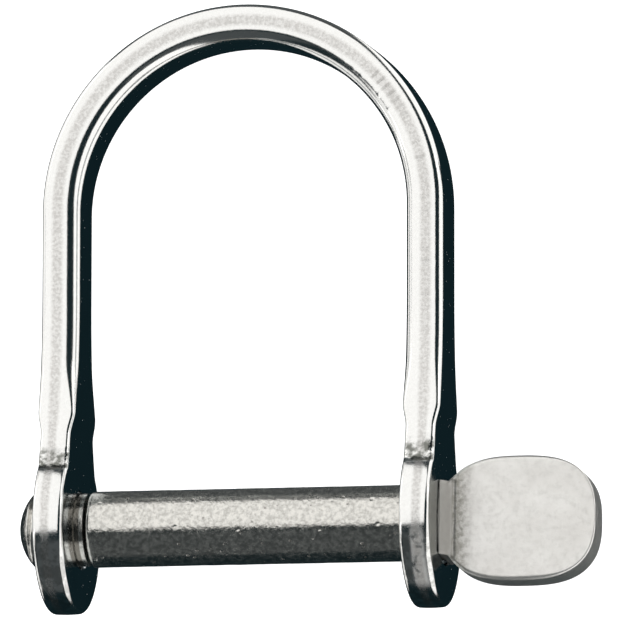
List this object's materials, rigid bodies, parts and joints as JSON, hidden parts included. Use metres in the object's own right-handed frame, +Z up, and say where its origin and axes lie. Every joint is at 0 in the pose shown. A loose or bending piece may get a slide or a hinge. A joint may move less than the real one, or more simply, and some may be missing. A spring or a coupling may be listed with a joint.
{
  "type": "bow shackle",
  "caption": "Wide bow shackle bent from strip steel, with round ears and a screw pin that has a flat thumb paddle.",
  "frame": {"origin": "middle of the box's lowest plane, on the surface that the shackle lies on", "axes": "+X runs along the pin towards the paddle, +Y from the pin to the crown, +Z up out of the surface. The shackle lies flat and rests on both ear rims and the crown's lower edge, so the bow's plane leans about 6 degrees down towards the crown."},
  "size_m": [0.0382, 0.0396, 0.0111],
  "materials": {
    "bow_steel": "polished stainless strip, mirror-like flat faces with fine specks and a lightly ground edge",
    "pin_steel": "worn and finely pitted stainless rod",
    "head_steel": "satin forged stainless with a fine even grain"
  },
  "bodies": {
    "bow": {"bow": "bow_steel"},
    "sliding_pin": {"pin_shank": "pin_steel"},
    "turning_pin": {"pin_thread": "pin_steel", "pin_head": "head_steel"}
  },
  "joints": [
    {"name": "pin_draw", "type": "slide", "parent": "bow", "child": "sliding_pin", "axis": [1, 0, 0], "range_m": [0, 0.029]},
    {"name": "pin_turn", "type": "hinge", "parent": "sliding_pin", "child": "turning_pin", "pos_m": [-0.00404, -0.01427, 0.00555], "axis": [1, 0, 0], "continuous": true}
  ]
}
